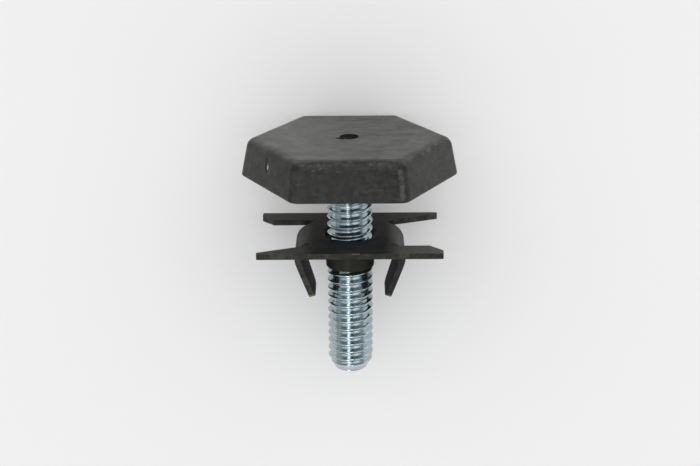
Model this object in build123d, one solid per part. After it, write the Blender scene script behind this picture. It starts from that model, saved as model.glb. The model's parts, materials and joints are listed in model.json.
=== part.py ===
from build123d import *
import math
import os

# Appliance levelling leg: a moulded hexagonal foot on a threaded stud, with a spring clip nut on the thread.
# Millimetres, +Z up along the stud. The origin is the centre of the foot's ground face.

# Foot
FOOT_HEIGHT = 6.6
RIM_FLATS = 31.8  # across flats, at the face towards the appliance
GROUND_FLATS = 29.5  # across flats, at the ground
CORNER_RADIUS = 2.0
GROUND_EDGE_RADIUS = 1.8
RIM_EDGE_RADIUS = 0.4
MOULDING_HOLE = 3.2  # diameter, from the ground face up to the stud's head

# Stud, 5/16-18 thread
STUD_DIAMETER = 7.72
STUD_EXPOSED = 34.9  # from the foot's rim face to the tip
TIP_DIAMETER = 5.2
TIP_TAPER_LENGTH = 1.9
HEAD_FLATS = 12.7
HEAD_COVER = 1.6  # foot material below and above the head

# Clip nut, one stamping
SHEET = 1.0
CLIP_ABOVE_RIM = 10.25  # from the foot's rim face, where the clip is screwed to
CLIP_LENGTH = 30.6
CLIP_DEPTH = 20.9
ARM_WIDTH = 3.8
TAPERED_ARM_TIP = 0.8
TAPERED_ARM_LENGTH = 7.6
ARM_CHAMFER_ALONG = 2.1
ARM_CHAMFER_ACROSS = 2.3
ARM_TIP_RADIUS = 0.3
BEND_START = 6.3  # from the stud's axis
BEND_RADIUS = 2.0  # inside
LEG_LEAN = 18.8  # degrees past square
LEG_LENGTH = 7.1  # straight part
LEG_WIDTH = 9.6
LEG_TIP_WIDTH = 7.0
LEG_TAPER_LENGTH = 5.8
LEG_TIP_RADIUS = 1.2

# Collar drawn out of the clip and tapped
THREAD_CLEARANCE = 0.05  # radial, between the thread's crests and the plain bore
COLLAR_WALL = 0.45  # at the plate
COLLAR_LIP_WALL = 0.2  # drawn thinner towards the lip
COLLAR_LENGTH = 5.65  # from the clip's foot-side face to the lip
COLLAR_ENTRY_RADIUS = 0.9
COLLAR_ROOT_RADIUS = 0.4
COLLAR_LIP_RADIUS = 0.1

# Worked out from the sizes above
FOOT_DRAFT = math.degrees(math.atan2((RIM_FLATS - GROUND_FLATS) / 2, FOOT_HEIGHT))
STUD_TOP = FOOT_HEIGHT + STUD_EXPOSED
CLIP_FACE = FOOT_HEIGHT + CLIP_ABOVE_RIM
ARM_INNER_EDGE = CLIP_DEPTH / 2 - ARM_WIDTH
RELIEF_RADIUS = (ARM_INNER_EDGE - LEG_WIDTH / 2) / 2
BORE_RADIUS = STUD_DIAMETER / 2 + THREAD_CLEARANCE
COLLAR_RADIUS = BORE_RADIUS + COLLAR_WALL
COLLAR_BASE_RADIUS = COLLAR_RADIUS + max(COLLAR_ENTRY_RADIUS, COLLAR_ROOT_RADIUS)
LEG_ROOT = (COLLAR_BASE_RADIUS + BEND_START) / 2  # where a leg's strip joins the flat blank


def make_stud():
    """The stud with its tapered lead-in end and the head that the foot is moulded around."""
    with BuildPart() as stud:
        with BuildSketch(Plane.XY.offset(HEAD_COVER)):
            RegularPolygon(HEAD_FLATS / 2, 6, major_radius=False)
        extrude(amount=FOOT_HEIGHT - 2 * HEAD_COVER)
        with BuildSketch(Plane.XY.offset(HEAD_COVER)):
            Circle(STUD_DIAMETER / 2)
        extrude(amount=STUD_TOP - HEAD_COVER)
        end_face = stud.faces().sort_by(Axis.Z)[-1]
        taper = (STUD_DIAMETER - TIP_DIAMETER) / 2
        chamfer(end_face.edges(), length=taper, length2=TIP_TAPER_LENGTH, reference=end_face)
    return stud.part


def make_foot(stud):
    """The drafted hexagon, rounded as moulded, around the stud's head and over its moulding hole."""
    with BuildPart() as foot:
        with BuildSketch():
            RegularPolygon(RIM_FLATS / 2, 6, major_radius=False)
        extrude(amount=FOOT_HEIGHT)
        sides = foot.faces().filter_by(Axis.Z, reverse=True)
        draft(sides, Plane.XY.offset(FOOT_HEIGHT), -FOOT_DRAFT)
        fillet(foot.edges().filter_by(lambda edge: abs(edge.tangent_at(0).Z) > 0.5), CORNER_RADIUS)
        fillet(foot.faces().sort_by(Axis.Z)[0].edges(), GROUND_EDGE_RADIUS)
        fillet(foot.faces().sort_by(Axis.Z)[-1].edges(), RIM_EDGE_RADIUS)
        with BuildSketch():
            Circle(MOULDING_HOLE / 2)
        extrude(amount=HEAD_COVER, mode=Mode.SUBTRACT)
        add(stud, mode=Mode.SUBTRACT)
    return foot.part


def make_blank():
    """The flat blank: a plate with four arms, two cut across the inner corner of the tip and two tapered."""
    end = CLIP_LENGTH / 2
    side = CLIP_DEPTH / 2
    corner_cut = [
        (end, ARM_INNER_EDGE),
        (end, ARM_INNER_EDGE + ARM_CHAMFER_ACROSS),
        (end - ARM_CHAMFER_ALONG, ARM_INNER_EDGE),
    ]
    taper_cut = [
        (end, -ARM_INNER_EDGE),
        (end, TAPERED_ARM_TIP - side),
        (end - TAPERED_ARM_LENGTH, -ARM_INNER_EDGE),
    ]
    with BuildSketch() as blank:
        Rectangle(CLIP_LENGTH, CLIP_DEPTH)
        with PolarLocations(BEND_START, 2):
            Rectangle(end, 2 * ARM_INNER_EDGE, align=(Align.MIN, Align.CENTER), mode=Mode.SUBTRACT)
        roots = blank.vertices().filter_by(lambda corner: abs(corner.X) < BEND_START + 0.01)
        fillet(roots, RELIEF_RADIUS)
        with PolarLocations(0, 2):
            Polygon(*corner_cut, align=None, mode=Mode.SUBTRACT)
            Polygon(*taper_cut, align=None, mode=Mode.SUBTRACT)
        tips = blank.vertices().filter_by(lambda corner: abs(corner.X) > end - 0.01)
        fillet(tips, ARM_TIP_RADIUS)
        Circle(COLLAR_BASE_RADIUS, mode=Mode.SUBTRACT)
    return blank.sketch


def make_leg():
    """The +X snap leg: a strip bent past square, relieved at the bend, with a tapered and rounded end."""
    relief_x = BEND_START + RELIEF_RADIUS
    relief_y = LEG_WIDTH / 2 + RELIEF_RADIUS
    with BuildPart() as leg:
        with BuildSketch(Plane.XZ):
            with BuildLine():
                flat = Line((LEG_ROOT, CLIP_FACE), (BEND_START, CLIP_FACE))
                bend = JernArc(flat @ 1, flat % 1, BEND_RADIUS + SHEET, 90 + LEG_LEAN)
                Line(bend @ 1, bend @ 1 + (bend % 1) * LEG_LENGTH)
                offset(amount=SHEET, side=Side.LEFT)
            make_face()
        extrude(amount=relief_y, both=True)
        with BuildSketch(Plane.XY.offset(CLIP_FACE)):
            with Locations((relief_x, relief_y), (relief_x, -relief_y)):
                Circle(RELIEF_RADIUS)
                Rectangle(CLIP_LENGTH, 2 * RELIEF_RADIUS, align=(Align.MIN, Align.CENTER))
        extrude(amount=BEND_RADIUS + SHEET, mode=Mode.SUBTRACT)
        with BuildSketch(Plane.XY.offset(CLIP_FACE + BEND_RADIUS + SHEET)):
            with Locations((0, relief_y), (0, -relief_y)):
                Rectangle(CLIP_LENGTH, 2 * RELIEF_RADIUS)
        extrude(amount=BEND_RADIUS + SHEET + LEG_LENGTH, mode=Mode.SUBTRACT)
        end_face = leg.faces().sort_by(Axis.Z)[-1]
        taper = (LEG_WIDTH - LEG_TIP_WIDTH) / 2
        tip_sides = end_face.edges().filter_by(Axis.Y, reverse=True)
        chamfer(tip_sides, length=taper, length2=LEG_TAPER_LENGTH, reference=end_face)
        end_face = leg.faces().sort_by(Axis.Z)[-1]
        fillet(end_face.edges().filter_by(Axis.Y, reverse=True), LEG_TIP_RADIUS)
    return leg.part


def make_collar():
    """The tapped collar, drawn from the sheet with a rounded entry, as a plain bore at the thread's crests."""
    face = CLIP_FACE
    lip = CLIP_FACE + COLLAR_LENGTH
    lip_radius = BORE_RADIUS + COLLAR_LIP_WALL
    with BuildPart() as collar:
        with BuildSketch(Plane.XZ) as section:
            with BuildLine():
                Polyline(
                    (BORE_RADIUS, face),
                    (BORE_RADIUS, lip),
                    (lip_radius, lip),
                    (COLLAR_RADIUS, face + SHEET),
                    (COLLAR_BASE_RADIUS, face + SHEET),
                    (COLLAR_BASE_RADIUS, face),
                    close=True,
                )
            make_face()
            corners = section.vertices()
            fillet(corners.sort_by_distance((BORE_RADIUS, 0, face))[0], COLLAR_ENTRY_RADIUS)
            fillet(corners.sort_by_distance((lip_radius, 0, lip))[0], COLLAR_LIP_RADIUS)
            fillet(corners.sort_by_distance((COLLAR_RADIUS, 0, face + SHEET))[0], COLLAR_ROOT_RADIUS)
        revolve(axis=Axis.Z)
    return collar.part


def make_clip():
    """The clip: a flat blank with four arms, two bent legs and the drawn collar."""
    leg = make_leg()
    with BuildPart() as clip:
        with BuildSketch(Plane.XY.offset(CLIP_FACE)):
            add(make_blank())
        extrude(amount=SHEET)
        with PolarLocations(0, 2):
            add(leg)
        add(make_collar())
    return clip.part


stud = make_stud()
pieces = {"hex_foot": make_foot(stud), "threaded_stud": stud, "clip_nut": make_clip()}

os.makedirs("parts", exist_ok=True)
for name, piece in pieces.items():
    export_step(piece, f"parts/{name}.step")
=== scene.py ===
import json
import math

import bmesh
import bpy
import numpy as np
from mathutils import Matrix, Vector


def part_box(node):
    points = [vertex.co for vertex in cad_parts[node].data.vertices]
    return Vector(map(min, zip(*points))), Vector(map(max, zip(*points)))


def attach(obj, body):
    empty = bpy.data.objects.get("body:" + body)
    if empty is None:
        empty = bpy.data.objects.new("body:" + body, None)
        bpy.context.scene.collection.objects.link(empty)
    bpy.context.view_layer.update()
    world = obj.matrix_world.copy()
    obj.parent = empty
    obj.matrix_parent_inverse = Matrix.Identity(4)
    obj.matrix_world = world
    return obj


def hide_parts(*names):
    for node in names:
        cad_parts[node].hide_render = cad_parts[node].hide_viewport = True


# Appliance levelling leg: looks for a moulded foot, a zinc-plated threaded stud and a black spring clip nut.
# Sizes are in metres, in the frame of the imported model.

MM = 0.001
MM_PER_INCH = 25.4

# Thread, 5/16-18, right hand
THREADS_PER_INCH = 18
PITCH = MM_PER_INCH / THREADS_PER_INCH * MM
CREST_WIDTH = 0.17 * MM
THREAD_DEPTH = 0.80 * MM
FLANK_ANGLE = math.radians(30)
CREST_ROUNDING = 0.12 * MM
ROOT_ROUNDING = 0.22 * MM
THREAD_START = 0.80  # turns, where the crest lies at angle 0 on the ground plane
THREAD_CLEARANCE = 0.06 * MM  # between the stud's thread and the collar's
TIP_TAPER_LENGTH = 1.9 * MM
TIP_RADIUS = 2.6 * MM
TIP_ROUNDING = 0.30 * MM

# Meshes that are turned round the stud's axis
AROUND = 72  # columns, a multiple of six
COLUMN_ANGLES = np.arange(AROUND) * 2 * math.pi / AROUND
ROWS_PER_TURN = 24
TIP_ROWS = 6
TURNED_SHARP = 50  # degrees, past which an edge is drawn sharp

# Clip nut
SHEET = 1.0 * MM
COLLAR_LENGTH = 5.65 * MM  # from the plate's foot-side face to the lip
COLLAR_BORE = 3.91 * MM  # radius
COLLAR_ZONE = 5.3 * MM  # radius that holds the collar and its rounded entry
COLLAR_ENTRY = 0.70 * MM  # from the plate's foot-side face to the first thread
EDGE_RADIUS = 0.09 * MM  # of the sheared edges
EDGE_SEGMENTS = 2
ROUND_PROFILE = 0.5  # of a bevel
EDGE_ANGLE = math.radians(35)  # past which two faces meet at a sheared edge
CLIP_SHARP = 40  # degrees, past which an edge is drawn sharp
WELD_DISTANCE = 0.0005 * MM
FLAT_ANGLE = math.radians(0.3)  # below which two faces are one
LEG_TIP_ZONE = 1.5 * MM  # down from the legs' highest point
PLATE_CUT_MOST_Z = 0.6  # of the normal, on the cut edge of the plate
LEG_CUT_LEAST_Y = 0.5  # of the normal, on the cut sides of a leg
TIP_CUT_LEAST_Z = 0.7  # of the normal, on the cut tip of a leg

# Camera, as it stood over the board that the leg lay on
IMAGE_WIDTH = 700  # pixels
PIXELS_PER_INCH = 143.2  # on the board
CAMERA_HEIGHT = 252.0 * MM  # above the board
SENSOR_WIDTH = 36.0  # millimetres, as the lens
NEAR_CLIP = 10 * MM
TILT = math.radians(19.54)  # of the stud, from the board
ROLL = math.radians(0.41)
SPIN = math.radians(0.24)
LEG_ON_BOARD = Vector((-0.13, 15.98, 16.72)) * MM  # the part's origin, from the point under the camera


def lies_on_board():
    """The part's place on the board, whose axes are right, up the picture and towards the camera."""
    turn = Matrix.Rotation(math.pi + ROLL, 4, "Z") @ Matrix.Rotation(-math.pi / 2 - TILT, 4, "X")
    return Matrix.Translation(LEG_ON_BOARD) @ turn @ Matrix.Rotation(SPIN, 4, "Z")


BOARD = lies_on_board().inverted()  # from the board's axes to the part's


# Mesh helpers

def smooth_min(a, b, width):
    """The smaller of two values, with the corner between them rounded over that width."""
    near = np.maximum(width - np.abs(a - b), 0.0)
    return np.minimum(a, b) - near * near / (4 * width)


def smooth_max(a, b, width):
    """The larger of two values, rounded in the same way."""
    return -smooth_min(-a, -b, width)


def thread_drop(z):
    """How far the thread's surface lies below its crests at a height, in each column."""
    turns = z / PITCH - COLUMN_ANGLES / (2 * math.pi) - THREAD_START
    from_crest = np.abs(turns - np.round(turns)) * PITCH
    flank = (from_crest - CREST_WIDTH / 2) / math.tan(FLANK_ANGLE)
    return smooth_min(smooth_max(flank, 0.0, CREST_ROUNDING), THREAD_DEPTH, ROOT_ROUNDING)


def ring(radius, z):
    """One row of a turned mesh. The radius is a number or one value for each column."""
    across = radius * np.cos(COLUMN_ANGLES)
    along = radius * np.sin(COLUMN_ANGLES)
    return np.stack([across, along, np.full(AROUND, z)], axis=1)


def hexagon_ring(flats, z):
    """A row with the outline of a hexagon, two of whose flats face along Y."""
    from_flat = np.mod(COLUMN_ANGLES, math.pi / 3) - math.pi / 6
    return ring(flats / 2 / np.cos(from_flat), z)


def turned_mesh(name, rows, closed_loop):
    """A mesh of quads between rows of points, capped at both ends or joined from the last row to the first."""
    points = [tuple(point) for row in rows for point in row]
    count = len(rows)
    faces = []
    for i in range(count if closed_loop else count - 1):
        low = i * AROUND
        high = (i + 1) % count * AROUND
        for j in range(AROUND):
            k = (j + 1) % AROUND
            faces.append((low + j, low + k, high + k, high + j))
    if not closed_loop:
        faces.append(tuple(reversed(range(AROUND))))
        faces.append(tuple(range((count - 1) * AROUND, count * AROUND)))
    mesh = bpy.data.meshes.new(name)
    mesh.from_pydata(points, [], faces)
    mesh.update()
    return mesh


def add_piece(name, mesh, material, sharp_angle):
    """An object for a mesh, smooth except at edges sharper than that angle."""
    mesh.shade_smooth()
    mesh.set_sharp_from_angle(angle=math.radians(sharp_angle))
    mesh.materials.clear()
    mesh.materials.append(material)
    piece = bpy.data.objects.new(name, mesh)
    bpy.context.scene.collection.objects.link(piece)
    return piece


# Pieces

def stud_mesh(radius, head_flats, head_low, head_high, top):
    """The stud from its hidden hexagonal head to its tapered tip, with its rolled thread."""
    rows = [hexagon_ring(head_flats, head_low), hexagon_ring(head_flats, head_high)]
    taper_low = top - TIP_TAPER_LENGTH
    taper_slope = (radius - TIP_RADIUS) / TIP_TAPER_LENGTH
    for z in np.arange(head_high, top - TIP_ROUNDING, PITCH / ROWS_PER_TURN):
        taper = radius - (z - taper_low) * taper_slope
        rows.append(ring(smooth_min(radius - thread_drop(z), taper, CREST_ROUNDING), z))
    end_radius = TIP_RADIUS + TIP_ROUNDING * taper_slope
    for turn in np.linspace(0, math.pi / 2, TIP_ROWS):
        z = top - TIP_ROUNDING + TIP_ROUNDING * math.sin(turn)
        rows.append(ring(end_radius - TIP_ROUNDING * (1 - math.cos(turn)), z))
    return turned_mesh("threaded_stud_zinc", rows, closed_loop=False)


def collar_thread_mesh(radius, low, high):
    """The thread tapped in the clip's collar: a thin sleeve whose inside follows the stud's thread."""
    outside = COLLAR_BORE + THREAD_CLEARANCE
    heights = np.linspace(low, high, int((high - low) / PITCH * ROWS_PER_TURN))
    inside = [ring(radius + THREAD_CLEARANCE - thread_drop(z), z) for z in heights]
    rows = inside + [ring(outside, high), ring(outside, low)]
    mesh = turned_mesh("collar_thread", rows, closed_loop=True)
    mesh.flip_normals()
    return mesh


def thread_fill_mesh(radius, low, high):
    """The foot's plastic in the first valleys of the thread, flush with its rim face."""
    inner = radius - THREAD_DEPTH - THREAD_CLEARANCE
    rows = [ring(inner, low), ring(radius, low), ring(radius, high), ring(inner, high)]
    return turned_mesh("foot_thread_fill", rows, closed_loop=True)


def rounded_copy(node, name):
    """A copy of a CAD node's mesh with its sheared edges rounded over."""
    work = bmesh.new()
    work.from_mesh(node.data)
    bmesh.ops.remove_doubles(work, verts=work.verts, dist=WELD_DISTANCE)
    bmesh.ops.dissolve_limit(work, angle_limit=FLAT_ANGLE, verts=work.verts, edges=work.edges)
    sharp = [edge for edge in work.edges if len(edge.link_faces) == 2 and edge.calc_face_angle() > EDGE_ANGLE]
    bmesh.ops.bevel(work, geom=sharp, offset=EDGE_RADIUS, segments=EDGE_SEGMENTS,
                    profile=ROUND_PROFILE, affect="EDGES", clamp_overlap=True)
    mesh = bpy.data.meshes.new(name)
    work.to_mesh(mesh)
    work.free()
    return mesh


def mark_sheared_faces(mesh, plate_low, tip_high):
    """Gives the second material to the cut faces: round the plate, beside the legs and at their tips."""
    plate_high = plate_low + SHEET
    for face in mesh.polygons:
        center = face.center
        normal = face.normal
        on_plate = center.z < plate_high and abs(normal.z) < PLATE_CUT_MOST_Z
        beside_leg = center.z >= plate_high and abs(normal.y) > LEG_CUT_LEAST_Y
        at_tip = center.z > tip_high - LEG_TIP_ZONE and normal.z > TIP_CUT_LEAST_Z
        in_sheet = math.hypot(center.x, center.y) > COLLAR_ZONE
        face.material_index = int(in_sheet and (on_plate or beside_leg or at_tip))


# Layers in a noise texture
PLAIN_DETAIL = 2.0
USUAL_DETAIL = 3.0
BROKEN_DETAIL = 4.0
USUAL_ROUGHNESS = 0.55  # share of each finer layer


# Shader helpers

def feed(tree, socket, value):
    """Links a socket to an output, or sets it to a plain value."""
    if isinstance(value, bpy.types.NodeSocket):
        tree.links.new(value, socket)
    else:
        socket.default_value = value


def add_node(tree, kind, inputs=None, **settings):
    """A shader node with its settings made, and its inputs, by name or number, set or linked."""
    made = tree.nodes.new(kind)
    for name, value in settings.items():
        setattr(made, name, value)
    for name, value in (inputs or {}).items():
        feed(tree, made.inputs[name], value)
    return made


def math_node(tree, operation, first, *others):
    """One value put through an operation, or several joined by it from left to right."""
    if not others:
        return add_node(tree, "ShaderNodeMath", {0: first}, operation=operation).outputs[0]
    for other in others:
        first = add_node(tree, "ShaderNodeMath", {0: first, 1: other}, operation=operation).outputs[0]
    return first


def multiply(tree, *values):
    """Values multiplied together."""
    return math_node(tree, "MULTIPLY", *values)


def distance(tree, value, center):
    """How far a value lies from a number, on either side."""
    return math_node(tree, "ABSOLUTE", math_node(tree, "SUBTRACT", value, center))


def remap(tree, value, low, high, to_low=0.0, to_high=1.0, smooth=True):
    """A value mapped from one range to another and held at the ends."""
    inputs = {"Value": value, "From Min": low, "From Max": high, "To Min": to_low, "To Max": to_high}
    shape = "SMOOTHSTEP" if smooth else "LINEAR"
    return add_node(tree, "ShaderNodeMapRange", inputs, interpolation_type=shape).outputs["Result"]


def mix_color(tree, factor, first, second):
    """The first colour at 0 and the second at 1. The node's colours are inputs 6 and 7 and output 2."""
    return add_node(tree, "ShaderNodeMix", {0: factor, 6: first, 7: second}, data_type="RGBA").outputs[2]


def mix_number(tree, factor, first, second):
    """The first number at 0 and the second at 1. The node's numbers are inputs 2 and 3 and output 0."""
    return add_node(tree, "ShaderNodeMix", {0: factor, 2: first, 3: second}, data_type="FLOAT").outputs[0]


def tint(tree, color, mask, shade, amount=1.0):
    """A colour with a shade laid over it where the mask says, up to that amount."""
    if amount < 1.0:
        mask = multiply(tree, mask, amount)
    return mix_color(tree, mask, color, shade)


def noise_node(tree, place, size, detail, roughness):
    """A noise texture whose blobs are about that many metres across."""
    inputs = {"Vector": place, "Scale": 1 / size, "Detail": detail, "Roughness": roughness}
    return add_node(tree, "ShaderNodeTexNoise", inputs)


def noise(tree, place, size, detail=USUAL_DETAIL, roughness=USUAL_ROUGHNESS, stretch=None):
    """Noise from 0 to 1, drawn out along the axes where the stretch is below 1."""
    if stretch:
        place = add_node(tree, "ShaderNodeMapping", {"Vector": place, "Scale": stretch}).outputs["Vector"]
    return noise_node(tree, place, size, detail, roughness).outputs["Fac"]


def vector_math(tree, operation, *values):
    """A vector operation's node."""
    return add_node(tree, "ShaderNodeVectorMath", dict(enumerate(values)), operation=operation)


def dot(tree, vector, axis):
    """How far a vector reaches along an axis."""
    return vector_math(tree, "DOT_PRODUCT", vector, axis).outputs["Value"]


def scaled(tree, vector, factor):
    """A vector times a number."""
    made = add_node(tree, "ShaderNodeVectorMath", {"Vector": vector, "Scale": factor}, operation="SCALE")
    return made.outputs["Vector"]


def split(tree, vector):
    """A vector's X, Y and Z."""
    return add_node(tree, "ShaderNodeSeparateXYZ", {0: vector}).outputs


def from_stud_axis(tree, place):
    """The distance from the stud's axis."""
    flat = vector_math(tree, "MULTIPLY", place, (1, 1, 0)).outputs["Vector"]
    return vector_math(tree, "LENGTH", flat).outputs["Value"]


def new_material(name):
    """A material with its node tree, its shader and the position in the part's frame."""
    material = bpy.data.materials.new(name)
    material.use_nodes = True
    tree = material.node_tree
    shader = tree.nodes["Principled BSDF"]
    place = add_node(tree, "ShaderNodeTexCoord").outputs["Object"]
    return material, tree, shader, place


def finish_surface(tree, shader, color, rough, relief, depth):
    """Gives a shader its colour, its roughness and its surface relief of that depth in metres."""
    made = add_node(tree, "ShaderNodeBump", {"Height": relief, "Distance": depth, "Strength": 1.0})
    feed(tree, shader.inputs["Base Color"], color)
    feed(tree, shader.inputs["Roughness"], rough)
    feed(tree, shader.inputs["Normal"], made.outputs["Normal"])


# Small marks
MARK_FADE = (0.55, 0.30)  # distances from a mark's line, as shares of its width, where it starts and is full
MARK_REACH = 1.0 * MM  # how far behind its face a mark still shows
WOBBLE_ROUGHNESS = 0.5
NOISE_MIDDLE = (0.5, 0.5, 0.5)


def wobbly(tree, place, size, reach):
    """A position shifted a little by noise, so that a mark drawn with it has a ragged edge."""
    made = noise_node(tree, place, size, PLAIN_DETAIL, WOBBLE_ROUGHNESS)
    shift = vector_math(tree, "SUBTRACT", made.outputs["Color"], NOISE_MIDDLE).outputs["Vector"]
    return vector_math(tree, "ADD", place, scaled(tree, shift, reach)).outputs["Vector"]


def mark(tree, place, start, end, width, normal):
    """1 on a short line on the face that looks along the normal, and 0 beside it. Sizes are in millimetres."""
    start, end, normal = Vector(start) * MM, Vector(end) * MM, Vector(normal).normalized()
    depth = dot(tree, place, normal)
    flat = vector_math(tree, "SUBTRACT", place, scaled(tree, normal, depth)).outputs["Vector"]
    origin = start - normal * start.dot(normal)
    line = end - start
    line -= normal * line.dot(normal)
    from_start = vector_math(tree, "SUBTRACT", flat, origin).outputs["Vector"]
    share = dot(tree, from_start, line / line.length_squared)
    share = math_node(tree, "MINIMUM", math_node(tree, "MAXIMUM", share, 0.0), 1.0)
    gap = vector_math(tree, "DISTANCE", from_start, scaled(tree, line, share)).outputs["Value"]
    inside = remap(tree, gap, *(width * MM * part for part in MARK_FADE))
    on_face = math_node(tree, "GREATER_THAN", depth, start.dot(normal) - MARK_REACH)
    return multiply(tree, inside, on_face)


# Directions that the foot's faces look in, left and right as in the picture
GROUND_FACE = (0, 0, -1)
FRONT_FACE = (0, -0.985, -0.172)
LEFT_FACE = (0.853, -0.493, -0.172)
FRONT_RIGHT_CORNER = (-0.255, -0.951, -0.172)

# Marks on the foot: start, end and width in millimetres, and the face
NICK = ((13.14, -7.74, 2.80), (13.16, -7.80, 3.05), 0.55, LEFT_FACE)
NICK_TAIL = ((13.12, -7.68, 2.35), (13.14, -7.74, 2.80), 0.45, LEFT_FACE)
# The nick's hollow is dented in the relief and darkened with painted shade
NICK_HOLLOW_AND_SHADE = ((13.12, -7.64, 2.1), (13.18, -7.80, 3.1), 1.7, LEFT_FACE)
DOTS = (
    ((5.75, -15.0, 1.4), (5.50, -15.0, 1.3), 0.32, FRONT_FACE),
    ((4.65, -14.9, 1.1), (4.40, -14.9, 1.0), 0.32, FRONT_FACE),
    ((1.90, -15.0, 1.5), (1.55, -15.0, 1.5), 0.34, FRONT_FACE),
    ((1.75, -12.9, 0.0), (1.30, -12.9, 0.0), 0.40, GROUND_FACE),
)
WORN_CORNER = ((-8.03, -14.94, 1.5), (-8.44, -15.66, 5.6), 1.0, FRONT_RIGHT_CORNER)
CHIP = ((1.80, -1.00, 0.0), (1.20, -1.40, 0.0), 0.95, GROUND_FACE)
FOOT_WOBBLE = (0.25 * MM, 0.3 * MM)  # size and reach of the ragged edges

# Colours of the foot. A tint is a colour and how much of it shows at most.
PLASTIC_DARK = (0.013, 0.0132, 0.0111, 1)
PLASTIC_LIGHT = (0.031, 0.0314, 0.0265, 1)
BLOTCH_COLOR = (0.017, 0.0167, 0.014, 1)
# A lighter colour for the ground face, towards +X and in streaks
GROUND_LIGHTER_COLOR = (0.10, 0.10, 0.098, 1)
SCUFF_TINT = ((0.115, 0.115, 0.111, 1), 0.8)
RUBBED_TINT = ((0.075, 0.075, 0.07, 1), 0.5)
CORNER_COLOR = (0.075, 0.076, 0.075, 1)
DOT_TINT = ((0.10, 0.10, 0.095, 1), 0.35)
# Painted shade, laid round the nick's hollow
HOLLOW_SHADE_TINT = ((0.006, 0.006, 0.005, 1), 0.8)
NICK_TAIL_COLOR = (0.09, 0.09, 0.087, 1)
NICK_COLOR = (0.32, 0.32, 0.31, 1)
# Painted shade: the chip's hollow is painted near black
CHIP_SHADE_COLOR = (0.004, 0.004, 0.004, 1)

# Noise on the foot
BLOTCH_SIZE = 4 * MM
MOTTLE_SIZE = 0.9 * MM
MOTTLE_ROUGHNESS = 0.6
GRAIN_SIZE = 0.22 * MM
SCUFF_SIZE = 0.45 * MM
SCUFF_STRETCH = (0.10, 1.0, 1.0)
SCUFF_PATCH_SIZE = 3 * MM
WIPED_SIZE = 1.6 * MM
WIPED_STRETCH = (0.25, 1.0, 1.0)

# Ranges on the foot: from, to, and what these become where that isn't 0 and 1
NEAR_GROUND = (0.6 * MM, 0.1 * MM)  # heights
ON_SIDES = 0.3  # share of the scuffs that is left there
EDGE_STARTS = (0.05 * MM, 0.3 * MM)  # heights
EDGE_ENDS = (0.9 * MM, 0.5 * MM)  # heights
LIGHTER_SIDE = (-2 * MM, 9 * MM)  # along X
LIGHTER_STREAKS = (0.38, 0.62, 0.05, 0.65)
SCUFF_LINES = (0.53, 0.70)
SCUFF_PATCHES = (0.42, 0.62)
RUBBED_SPECKS = (0.50, 0.64)
CORNER_SPECKS = (0.38, 0.62, 0.15, 0.60)
MOTTLE_SHADES = (0.28, 0.72)
BLOTCH_SHADES = (0.50, 0.68, 0.0, 0.5)
BLOTCH_ROUGHNESS = (0.3, 0.7, 0.28, 0.35)
WIPED_ROUGHNESS = (0.35, 0.65, 0.0, 0.09)
CHIP_ROUGHNESS = 0.6
PLASTIC_SPECULAR = 0.32

# Relief of the foot, where 1 is the depth of its grain
SCUFF_RELIEF = 0.6
HOLLOW_RELIEF = 15.0
CHIP_RELIEF = 12.0
GRAIN_DEPTH = 0.006 * MM


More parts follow.
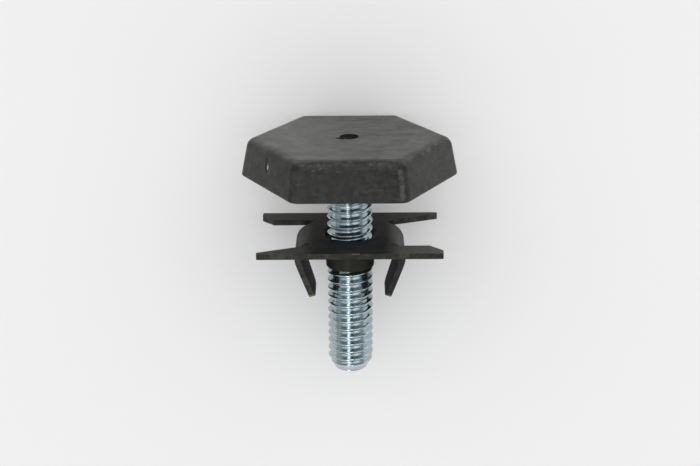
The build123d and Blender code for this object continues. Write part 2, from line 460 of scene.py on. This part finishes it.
def foot_plastic():
    """Dark grey moulded plastic, satin and mottled. Its ground face is lighter towards +X in wiped streaks, and
    has scuffs.
    It has rubbed edges, a worn corner, a nick in one side with painted shade in the hollow round it, and a chip
    at the hole whose hollow is painted near black as shade."""
    material, tree, shader, place = new_material("foot_plastic")
    axes = split(tree, place)
    height = axes["Z"]
    blotch = noise(tree, place, BLOTCH_SIZE)
    mottle = noise(tree, place, MOTTLE_SIZE, roughness=MOTTLE_ROUGHNESS)
    grain = noise(tree, place, GRAIN_SIZE, detail=PLAIN_DETAIL)
    wiped = noise(tree, place, WIPED_SIZE, stretch=WIPED_STRETCH)

    scratches = noise(tree, place, SCUFF_SIZE, detail=BROKEN_DETAIL, stretch=SCUFF_STRETCH)
    scuff_lines = remap(tree, scratches, *SCUFF_LINES)
    scuff_patches = remap(tree, noise(tree, place, SCUFF_PATCH_SIZE), *SCUFF_PATCHES)
    scuff = multiply(tree, scuff_lines, scuff_patches, remap(tree, height, *NEAR_GROUND, ON_SIDES, 1.0))
    on_edge = multiply(tree, remap(tree, height, *EDGE_STARTS), remap(tree, height, *EDGE_ENDS))
    rubbed = multiply(tree, on_edge, remap(tree, mottle, *RUBBED_SPECKS))
    # the ground face lighter towards +X, in wiped streaks
    ground_lighter = multiply(tree, remap(tree, height, *NEAR_GROUND), remap(tree, axes["X"], *LIGHTER_SIDE),
                    remap(tree, wiped, *LIGHTER_STREAKS))

    ragged = wobbly(tree, place, *FOOT_WOBBLE)
    hollow_and_shade = mark(tree, ragged, *NICK_HOLLOW_AND_SHADE)
    chip = mark(tree, ragged, *CHIP)
    dots = math_node(tree, "MAXIMUM", *(mark(tree, ragged, *dot_place) for dot_place in DOTS))
    corner = multiply(tree, mark(tree, ragged, *WORN_CORNER), remap(tree, mottle, *CORNER_SPECKS))

    color = mix_color(tree, remap(tree, mottle, *MOTTLE_SHADES), PLASTIC_DARK, PLASTIC_LIGHT)
    color = tint(tree, color, remap(tree, blotch, *BLOTCH_SHADES), BLOTCH_COLOR)
    color = tint(tree, color, ground_lighter, GROUND_LIGHTER_COLOR)
    color = tint(tree, color, scuff, *SCUFF_TINT)
    color = tint(tree, color, rubbed, *RUBBED_TINT)
    color = tint(tree, color, corner, CORNER_COLOR)
    color = tint(tree, color, dots, *DOT_TINT)
    # painted shade round the nick's hollow
    color = tint(tree, color, hollow_and_shade, *HOLLOW_SHADE_TINT)
    color = tint(tree, color, mark(tree, ragged, *NICK_TAIL), NICK_TAIL_COLOR)
    color = tint(tree, color, mark(tree, ragged, *NICK), NICK_COLOR)
    # painted shade in the chip's hollow
    color = tint(tree, color, chip, CHIP_SHADE_COLOR)

    rough = math_node(tree, "ADD", remap(tree, blotch, *BLOTCH_ROUGHNESS), remap(tree, wiped, *WIPED_ROUGHNESS),
                      multiply(tree, chip, CHIP_ROUGHNESS))
    relief = math_node(tree, "ADD", grain, multiply(tree, scuff, SCUFF_RELIEF))
    relief = math_node(tree, "SUBTRACT", relief, multiply(tree, hollow_and_shade, HOLLOW_RELIEF),
                       multiply(tree, chip, CHIP_RELIEF))
    shader.inputs["Specular IOR Level"].default_value = PLASTIC_SPECULAR
    finish_surface(tree, shader, color, rough, relief, GRAIN_DEPTH)
    return material


# Zinc plate
ZINC_BLUE = (0.60, 0.73, 0.80, 1)
ZINC_GREY = (0.69, 0.77, 0.79, 1)
# Painted shade in the valleys of the thread
VALLEY_SHADE_TINT = ((0.40, 0.46, 0.46, 1), 0.4)
ZINC_CLOUD_SIZE = 1.6 * MM
ZINC_CLOUDS = (0.35, 0.65)
ZINC_FINE_SIZE = 0.12 * MM
VALLEY = (3.5 * MM, 3.0 * MM)  # from the stud's axis
ZINC_ROUGHNESS = (0.3, 0.7, 0.11, 0.19)
VALLEY_ROUGHNESS = 0.08
ZINC_DEPTH = 0.002 * MM


def zinc_steel():
    """Blue-clear zinc plate: a bright grey-blue metal, a little cloudy, rougher in the valleys of the thread
    and darkened there with painted shade.
    """
    material, tree, shader, place = new_material("zinc_steel")
    cloud = noise(tree, place, ZINC_CLOUD_SIZE)
    fine = noise(tree, place, ZINC_FINE_SIZE, detail=PLAIN_DETAIL)
    valley = remap(tree, from_stud_axis(tree, place), *VALLEY)
    color = mix_color(tree, remap(tree, cloud, *ZINC_CLOUDS), ZINC_BLUE, ZINC_GREY)
    # painted shade in the valleys of the thread
    color = tint(tree, color, valley, *VALLEY_SHADE_TINT)
    rough = math_node(tree, "ADD", remap(tree, fine, *ZINC_ROUGHNESS), multiply(tree, valley, VALLEY_ROUGHNESS))
    shader.inputs["Metallic"].default_value = 1.0
    finish_surface(tree, shader, color, rough, fine, ZINC_DEPTH)
    return material


# Colours of the clip's black oxide
OXIDE_DARK = (0.0115, 0.0115, 0.0112, 1)
# The lighter end of the oxide's cloudy tone, which also carries its painted sheen
OXIDE_LIGHTER = (0.0275, 0.027, 0.0245, 1)
# Painted sheen on the bends
OXIDE_BEND_SHEEN = (0.105, 0.104, 0.099, 1)
# The collar darker near the plate and lighter towards its lip
COLLAR_NEAR_PLATE = (0.016, 0.0157, 0.0125, 1)
COLLAR_LIP = (0.026, 0.0255, 0.0205, 1)
# Painted shade in the collar's rounded entry
ENTRY_SHADE_COLOR = (0.004, 0.004, 0.005, 1)
LEG_RUBBED_TINT = ((0.070, 0.0685, 0.062, 1), 0.6)

# Zones of the clip: heights are above the plate's foot-side face
COLLAR_FADE = (COLLAR_ZONE - 0.2 * MM, COLLAR_ZONE - 0.5 * MM)  # from the stud's axis
PAST_PLATE = (0.8 * MM, 1.6 * MM)
LIP_HEIGHTS = (2.6 * MM, 3.4 * MM)
LEG_RUBBED_HEIGHTS = (4 * MM, 8 * MM)
# Where the painted sheen lies on the bends
BEND_SHEEN_HEIGHTS = (3 * MM, 5 * MM, 1.0, 0.15)
BEND_SHEEN_OUTWARDS = (5.5 * MM, 8.5 * MM)  # from the plate's middle, along X
BEND_SHEEN_BACK = (3 * MM, 8 * MM, 1.0, 0.15)  # along Y
BEND_SHEEN_ACROSS = (-8 * MM, 8 * MM, 1.0, 0.55)  # along X
# Painted sheen towards the back and away from the stud; after it, one leg made lighter than the other
SHEEN_TOWARDS_BACK = (-7 * MM, 9 * MM, -0.3, 0.4)  # along Y
SHEEN_OUTWARDS = (4 * MM, 10 * MM, 0.0, 0.5)  # from the plate's middle, along X
LEG_SHIFT_ACROSS = (-8 * MM, 8 * MM, -0.6, 0.4)  # along X

# Noise on the clip's black oxide
OXIDE_CLOUD_SIZE = 2.5 * MM
OXIDE_CLOUDS = (0.35, 0.70)
OXIDE_FINE_SIZE = 0.15 * MM
# The noise that flecks the painted sheen on the bends
BEND_SHEEN_SIZE = 0.7 * MM
BEND_SHEEN_SPECKS = (0.30, 0.70, 0.60, 0.95)
LEG_RUBBED_SIZE = 0.6 * MM
LEG_RUBBED_STRETCH = (1.0, 1.0, 0.15)
LEG_RUBBED_STREAKS = (0.48, 0.66)
OXIDE_ROUGHNESS = (0.3, 0.7, 0.42, 0.52)
LEG_ROUGHER = 0.35
COLLAR_SMOOTHER = 0.13
OXIDE_SPECULAR = 0.13
OXIDE_DEPTH = 0.003 * MM


def black_steel(plate_low):
    """Oiled black oxide on spring steel: near black, half glossy and cloudy, with painted sheen on the bends,
    towards the arm ends and towards the back, one leg lighter than the other, rubbed in streaks down the legs,
    smoother on the collar, darker on the collar near the plate than at its lip, and with painted shade in the
    collar's entry."""
    material, tree, shader, place = new_material("black_spring_steel")
    axes = split(tree, place)
    height = math_node(tree, "SUBTRACT", axes["Z"], plate_low)
    outwards = math_node(tree, "ABSOLUTE", axes["X"])
    inside_collar = remap(tree, from_stud_axis(tree, place), *COLLAR_FADE)
    past_plate = remap(tree, height, *PAST_PLATE)
    # the collar's entry at the plate, which carries painted shade
    entry = multiply(tree, inside_collar, math_node(tree, "SUBTRACT", 1.0, past_plate))
    collar = multiply(tree, inside_collar, past_plate)
    leg = math_node(tree, "SUBTRACT", past_plate, collar)

    cloud = noise(tree, place, OXIDE_CLOUD_SIZE)
    fine = noise(tree, place, OXIDE_FINE_SIZE, detail=PLAIN_DETAIL)
    streaks = noise(tree, place, LEG_RUBBED_SIZE, detail=BROKEN_DETAIL, stretch=LEG_RUBBED_STRETCH)
    specks = noise(tree, place, BEND_SHEEN_SIZE, detail=BROKEN_DETAIL)
    rubbed = multiply(tree, remap(tree, streaks, *LEG_RUBBED_STREAKS),
                      remap(tree, height, *LEG_RUBBED_HEIGHTS), leg)
    # cloudy tone, painted sheen towards the back and away from the stud, and one leg lighter than the other
    tone_and_sheen = math_node(tree, "ADD", remap(tree, cloud, *OXIDE_CLOUDS), remap(tree, axes["Y"], *SHEEN_TOWARDS_BACK),
                     remap(tree, outwards, *SHEEN_OUTWARDS),
                     multiply(tree, leg, remap(tree, axes["X"], *LEG_SHIFT_ACROSS)))
    # painted sheen on the bends, stronger at the front and on one side, flecked by noise
    bend_sheen = multiply(tree, remap(tree, outwards, *BEND_SHEEN_OUTWARDS), remap(tree, axes["Y"], *BEND_SHEEN_BACK),
                       remap(tree, axes["X"], *BEND_SHEEN_ACROSS), remap(tree, height, *BEND_SHEEN_HEIGHTS),
                       remap(tree, specks, *BEND_SHEEN_SPECKS))
    # the collar darker near the plate, lighter towards its lip
    collar_tone = mix_color(tree, remap(tree, height, *LIP_HEIGHTS), COLLAR_NEAR_PLATE, COLLAR_LIP)

    # cloudy tone and painted sheen
    color = mix_color(tree, tone_and_sheen, OXIDE_DARK, OXIDE_LIGHTER)
    # painted sheen on the bends
    color = tint(tree, color, bend_sheen, OXIDE_BEND_SHEEN)
    color = tint(tree, color, collar, collar_tone)
    # painted shade in the collar's entry
    color = tint(tree, color, entry, ENTRY_SHADE_COLOR)
    color = tint(tree, color, rubbed, *LEG_RUBBED_TINT)
    rough = math_node(tree, "ADD", remap(tree, fine, *OXIDE_ROUGHNESS), multiply(tree, leg, LEG_ROUGHER))
    rough = math_node(tree, "SUBTRACT", rough, multiply(tree, inside_collar, COLLAR_SMOOTHER))
    shader.inputs["Specular IOR Level"].default_value = OXIDE_SPECULAR
    finish_surface(tree, shader, color, rough, fine, OXIDE_DEPTH)
    return material


# Cut edges of the clip. Heights are above the plate's foot-side face.
CUT_DARK = (0.0115, 0.0112, 0.0087, 1)
CUT_LIGHT = (0.029, 0.0278, 0.022, 1)
CUT_PALE_PATCH = (0.063, 0.0605, 0.050, 1)
CUT_DARK_PATCH = (0.008, 0.008, 0.007, 1)
# Painted highlight on the rounded edges
EDGE_HIGHLIGHT_TINT = ((0.15, 0.147, 0.12, 1), 0.7)
BARE_TINT = ((0.34, 0.34, 0.30, 1), 0.75)
BARE_SPOT = ((-0.45, -10.45, 16.80), (-1.50, -10.45, 16.80), 0.30, (0, -1, 0))  # as the marks on the foot
CUT_WOBBLE = (0.3 * MM, 0.25 * MM)  # size and reach of its ragged edge
CUT_STREAK_SIZE = 0.3 * MM
CUT_STREAK_STRETCH = (1.0, 1.0, 0.3)
CUT_STREAKS = (0.3, 0.7)
CUT_PATCH_SIZE = 1.4 * MM
PALE_PATCHES = (0.52, 0.66, 0.0, 0.6)
DARK_PATCHES = (0.46, 0.34, 0.0, 0.7)
ON_LEG = (1.2 * MM, 2.5 * MM)  # heights
LEG_PATCH_ACROSS = (-8 * MM, 8 * MM, -0.10, 0.12)  # along X
EDGE_NORMAL = (0.15, 0.5)  # how far the normal of a rounded edge points up or down
EDGE_PATCHES = (0.40, 0.58)
CUT_ROUGHNESS = (0.3, 0.7, 0.42, 0.58)
CUT_SPECULAR = 0.3
CUT_DEPTH = 0.01 * MM


def sheared_steel(plate_low):
    """The cut edges of the clip: the same oxide, thinner, rougher and browner, worn bare at one place, with
    painted highlights along the rounded edges and one leg's edges lighter than the other's.
    """
    material, tree, shader, place = new_material("sheared_steel")
    axes = split(tree, place)
    height = math_node(tree, "SUBTRACT", axes["Z"], plate_low)
    streak = noise(tree, place, CUT_STREAK_SIZE, stretch=CUT_STREAK_STRETCH)
    # one leg's cut edges lighter than the other's
    leg_side_shift = multiply(tree, remap(tree, height, *ON_LEG), remap(tree, axes["X"], *LEG_PATCH_ACROSS))
    patch = math_node(tree, "ADD", noise(tree, place, CUT_PATCH_SIZE), leg_side_shift)
    bare = mark(tree, wobbly(tree, place, *CUT_WOBBLE), *BARE_SPOT)
    normal = split(tree, add_node(tree, "ShaderNodeTexCoord").outputs["Normal"])
    # painted highlight along the rounded edges, in patches
    edge = multiply(tree, remap(tree, math_node(tree, "ABSOLUTE", normal["Z"]), *EDGE_NORMAL),
                    remap(tree, patch, *EDGE_PATCHES))

    color = mix_color(tree, remap(tree, streak, *CUT_STREAKS), CUT_DARK, CUT_LIGHT)
    color = tint(tree, color, remap(tree, patch, *PALE_PATCHES), CUT_PALE_PATCH)
    color = tint(tree, color, remap(tree, patch, *DARK_PATCHES), CUT_DARK_PATCH)
    # painted highlight on the rounded edges
    color = tint(tree, color, edge, *EDGE_HIGHLIGHT_TINT)
    color = tint(tree, color, bare, *BARE_TINT)
    shader.inputs["Specular IOR Level"].default_value = CUT_SPECULAR
    finish_surface(tree, shader, color, remap(tree, streak, *CUT_ROUGHNESS), streak, CUT_DEPTH)
    return material


# Stage: a floor and a board
STAGE_SIZE = 3.0  # half width
STAGE_COLOR = (0.90, 0.90, 0.90, 1)
FLOOR_GAP = 0.02 * MM
BOARD_GAP = 0.4 * MM
BOARD_HINGE = 15.0 * MM  # up the picture, where the foot's rim rests on the board
BOARD_FALL = math.radians(10)  # away from the stud's tip, so that the clip clears the board over its travel
# Painted shade on the board, seen only where the part reflects it
REFLECTED_SHADE_LEFT = (-0.075, -0.035, 0.42, 0.96)  # the reflected board darkens towards its left
REFLECTED_SHADE_LOW = (0.0, 0.012, 0.86, 1.06)  # and down the picture


def one_sided_stage(name, matrix, mirrored):
    """A pale plane that catches shadows and is seen from its front only. The part may mirror it; where it does,
    the plane carries painted shade, darker towards its left and down the picture.
    """
    material = bpy.data.materials.new(name)
    material.use_nodes = True
    tree = material.node_tree
    tree.nodes.remove(tree.nodes["Principled BSDF"])
    axes = split(tree, add_node(tree, "ShaderNodeTexCoord").outputs["Object"])
    # painted shade on the board where the part reflects it
    reflected_shade = multiply(tree, remap(tree, axes["X"], *REFLECTED_SHADE_LEFT), remap(tree, axes["Y"], *REFLECTED_SHADE_LOW))
    seen = add_node(tree, "ShaderNodeLightPath").outputs["Is Camera Ray"]
    color = mix_color(tree, math_node(tree, "MAXIMUM", seen, reflected_shade), (0, 0, 0, 1), STAGE_COLOR)
    front = add_node(tree, "ShaderNodeBsdfDiffuse", {"Color": color})
    clear = add_node(tree, "ShaderNodeBsdfTransparent")
    behind = add_node(tree, "ShaderNodeNewGeometry").outputs["Backfacing"]
    mixed = add_node(tree, "ShaderNodeMixShader", {0: behind, 1: front.outputs[0], 2: clear.outputs[0]})
    feed(tree, tree.nodes["Material Output"].inputs["Surface"], mixed.outputs[0])
    mesh = bpy.data.meshes.new(name)
    corners = [(-STAGE_SIZE, -STAGE_SIZE, 0), (STAGE_SIZE, -STAGE_SIZE, 0),
               (STAGE_SIZE, STAGE_SIZE, 0), (-STAGE_SIZE, STAGE_SIZE, 0)]
    mesh.from_pydata(corners, [], [(0, 1, 2, 3)])
    mesh.materials.append(material)
    plane = bpy.data.objects.new(name, mesh)
    plane.matrix_world = matrix
    plane.visible_diffuse = False
    plane.visible_glossy = mirrored
    plane.visible_transmission = False
    plane.visible_shadow = False
    bpy.context.scene.collection.objects.link(plane)


# Studio. Ranges go by a direction's reach to the right, up the picture or overhead, each from -1 to 1.
BACKGROUND = (0.88, 0.88, 0.88, 1)
SKY = (-1.0, 1.0, 0.85, 1.15)  # up the picture
HORIZON = (0.30, 0.08, 0.0, 0.35)  # overhead
HORIZON_TOP = (0.75, 0.35)  # up the picture
HORIZON_RIGHT = (0.55, 0.90, 1.0, 0.55)
WALL_BOW = 0.36  # how far the wall's lower edge rises at its ends
WALL_LOW = (-0.74, -0.60, 0.15, 1.05)  # up the picture
WALL_TOP = (-0.10, 0.20, 1.0, 0.3)  # up the picture
WALL_MIDDLE = 0.06  # to the right
WALL_DARK_MIDDLE = (0.12, 0.30, 0.22, 1.0)  # from its middle
WALL_ENDS = (0.80, 0.96, 1.0, 0.3)  # to either side
STRIP = (0.15, 0.07, 0.0, 2.4)  # to either side
STRIP_LOW = (-0.12, 0.10)  # up the picture
STRIP_TOP = (1.0, 0.8)  # up the picture
LOW_STRIP_MIDDLE = -0.175  # to the right
LOW_STRIP = (0.12, 0.05, 0.0, 2.7)  # from its middle
LOW_STRIP_TOP = (-0.22, -0.40)  # up the picture
PANEL_MIDDLE = 0.5  # to the right
PANEL = (0.32, 0.14, 0.0, 0.5)  # from its middle
PANEL_LOW = (-0.55, -0.40)  # up the picture
PANEL_TOP = (0.25, 0.05)  # up the picture


def studio_world():
    """A soft plain sky for light. Reflections show a studio instead: a glow near the horizon, a front wall
    with a dark middle, two strip lamps and a panel on the right."""
    world = bpy.data.worlds.new("studio")
    bpy.context.scene.world = world
    world.use_nodes = True
    world.cycles.sampling_method = "NONE"
    tree = world.node_tree
    direction = add_node(tree, "ShaderNodeTexCoord").outputs["Generated"]
    turn = BOARD.to_3x3()
    right = dot(tree, direction, turn @ Vector((1, 0, 0)))
    up_picture = dot(tree, direction, turn @ Vector((0, 1, 0)))
    overhead = dot(tree, direction, turn @ Vector((0, 0, 1)))
    sideways = math_node(tree, "ABSOLUTE", right)

    horizon = multiply(tree, remap(tree, overhead, *HORIZON), remap(tree, up_picture, *HORIZON_TOP),
                       remap(tree, right, *HORIZON_RIGHT))
    bowed = math_node(tree, "SUBTRACT", up_picture, multiply(tree, right, right, WALL_BOW))
    front_wall = multiply(tree, remap(tree, bowed, *WALL_LOW), remap(tree, up_picture, *WALL_TOP),
                          remap(tree, distance(tree, right, WALL_MIDDLE), *WALL_DARK_MIDDLE),
                          remap(tree, sideways, *WALL_ENDS))
    strip = multiply(tree, remap(tree, sideways, *STRIP), remap(tree, up_picture, *STRIP_LOW),
                     remap(tree, up_picture, *STRIP_TOP))
    low_strip = multiply(tree, remap(tree, distance(tree, right, LOW_STRIP_MIDDLE), *LOW_STRIP),
                         remap(tree, up_picture, *LOW_STRIP_TOP))
    panel = multiply(tree, remap(tree, distance(tree, right, PANEL_MIDDLE), *PANEL),
                     remap(tree, up_picture, *PANEL_LOW), remap(tree, up_picture, *PANEL_TOP))
    reflected = math_node(tree, "ADD", horizon, front_wall, strip, low_strip, panel)

    light_path = add_node(tree, "ShaderNodeLightPath").outputs
    sky = remap(tree, up_picture, *SKY, smooth=False)
    strength = mix_number(tree, light_path["Is Glossy Ray"], sky, reflected)
    lit = add_node(tree, "ShaderNodeBackground", {"Color": (1, 1, 1, 1), "Strength": strength})
    seen = add_node(tree, "ShaderNodeBackground", {"Color": BACKGROUND, "Strength": 1.0})
    mixed = add_node(tree, "ShaderNodeMixShader",
                     {0: light_path["Is Camera Ray"], 1: lit.outputs[0], 2: seen.outputs[0]})
    feed(tree, tree.nodes["World Output"].inputs["Surface"], mixed.outputs[0])


def photo_camera():
    """The camera straight above the board, with the lens that the photograph's scale gives."""
    data = bpy.data.cameras.new("camera")
    data.sensor_width = SENSOR_WIDTH
    focal_pixels = PIXELS_PER_INCH / MM_PER_INCH * CAMERA_HEIGHT / MM
    data.lens = focal_pixels / IMAGE_WIDTH * SENSOR_WIDTH
    data.clip_start = NEAR_CLIP
    camera = bpy.data.objects.new("camera", data)
    bpy.context.scene.collection.objects.link(camera)
    camera.matrix_world = BOARD @ Matrix.Translation((0, 0, CAMERA_HEIGHT))
    bpy.context.scene.camera = camera


# The part

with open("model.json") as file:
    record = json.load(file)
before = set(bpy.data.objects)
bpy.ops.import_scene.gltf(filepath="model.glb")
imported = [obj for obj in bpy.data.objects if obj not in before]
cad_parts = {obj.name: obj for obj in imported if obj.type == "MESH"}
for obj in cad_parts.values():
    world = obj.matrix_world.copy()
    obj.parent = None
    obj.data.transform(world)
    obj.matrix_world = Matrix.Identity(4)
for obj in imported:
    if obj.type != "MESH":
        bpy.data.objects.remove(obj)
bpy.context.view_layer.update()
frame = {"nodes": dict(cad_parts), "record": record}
nodes = frame["nodes"]
mounts = {mount["name"]: mount for mount in frame["record"]["mounts"]}

stud_low, stud_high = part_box("threaded_stud")
foot_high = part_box("hex_foot")[1]
clip_low, clip_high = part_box("clip_nut")
stud_radius = mounts["stud_thread"]["dims"]["r_mm"] * MM
head_flats = stud_high.y - stud_low.y
head_top = foot_high.z - stud_low.z  # the head is as far below the rim face as it is above the ground

plastic = foot_plastic()
zinc = zinc_steel()
black = black_steel(clip_low.z)

foot = nodes["hex_foot"]
foot.material_slots[0].material = plastic

threaded = stud_mesh(stud_radius, head_flats, stud_low.z, head_top, stud_high.z)
stud = add_piece("threaded_stud_zinc", threaded, zinc, TURNED_SHARP)
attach(stud, "leg")
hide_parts("threaded_stud")

fill_mesh = thread_fill_mesh(stud_radius, foot_high.z - PITCH / 2, foot_high.z)
fill = add_piece("foot_thread_fill", fill_mesh, plastic, TURNED_SHARP)
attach(fill, "leg")

clip = add_piece("clip_nut_black", rounded_copy(nodes["clip_nut"], "clip_nut_black"), black, CLIP_SHARP)
clip.data.materials.append(sheared_steel(clip_low.z))
mark_sheared_faces(clip.data, clip_low.z, clip_high.z)
clip.modifiers.new("flat_faces_stay_flat", "WEIGHTED_NORMAL").keep_sharp = True
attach(clip, "clip")
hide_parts("clip_nut")

thread_low = clip_low.z + COLLAR_ENTRY
thread_high = clip_low.z + COLLAR_LENGTH - THREAD_CLEARANCE
tapped_mesh = collar_thread_mesh(stud_radius, thread_low, thread_high)
tapped = add_piece("collar_thread", tapped_mesh, black, TURNED_SHARP)
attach(tapped, "clip")

one_sided_stage("floor", Matrix.Translation((0, 0, -FLOOR_GAP)), mirrored=False)
board_place = BOARD @ Matrix.Translation((0, BOARD_HINGE, -BOARD_GAP)) @ Matrix.Rotation(BOARD_FALL, 4, "X")
one_sided_stage("board", board_place, mirrored=True)
studio_world()
photo_camera()
bpy.context.scene.view_settings.view_transform = "Standard"
